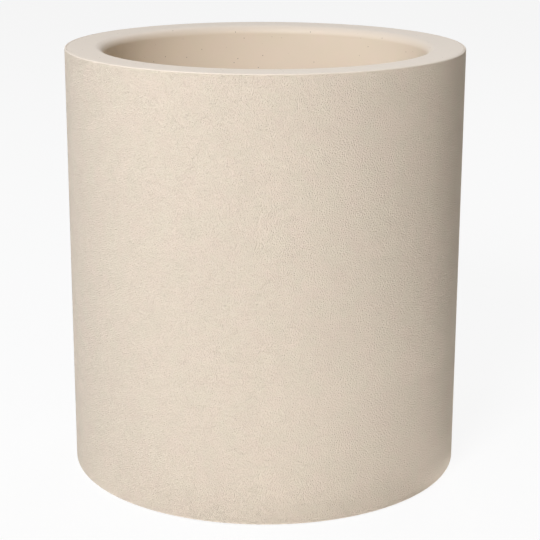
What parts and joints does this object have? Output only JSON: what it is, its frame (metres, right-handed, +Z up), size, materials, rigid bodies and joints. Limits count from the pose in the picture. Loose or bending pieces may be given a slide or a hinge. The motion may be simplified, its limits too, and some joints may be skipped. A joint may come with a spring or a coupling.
{
  "type": "floor planter",
  "caption": "Round floor planter: straight grained shell, smooth inner pot with a broad flat rim, slotted drainage grid, drain plug with seal and rubber foot pads.",
  "frame": {"origin": "on the ground, at the centre of the pot's base", "axes": "+Z up along the pot's axis; the foot pads lie between the X and Y axes"},
  "size_m": [0.4, 0.3998, 0.434],
  "materials": {
    "grained_plastic": "fine sand grain, matt",
    "smooth_plastic": "smooth, faint satin, tiny dark specks",
    "grid_plastic": "satin, dark recycled plastic",
    "plug_plastic": "satin",
    "rubber": "matt rubber"
  },
  "bodies": {
    "pot": {"outer_shell": "grained_plastic", "inner_pot": "smooth_plastic", "foot_pad_1": "rubber", "foot_pad_2": "rubber", "foot_pad_3": "rubber", "foot_pad_4": "rubber"},
    "grid": {"drainage_grid": "grid_plastic"},
    "plug": {"drain_plug": "plug_plastic", "plug_seal": "rubber"}
  },
  "joints": [
    {"name": "grid_lift", "type": "slide", "parent": "pot", "child": "grid", "axis": [0, 0, 1], "range_m": [0, 0.4]},
    {"name": "plug_pull", "type": "slide", "parent": "pot", "child": "plug", "axis": [0, 0, -1], "range_m": [0, 0.04]}
  ]
}
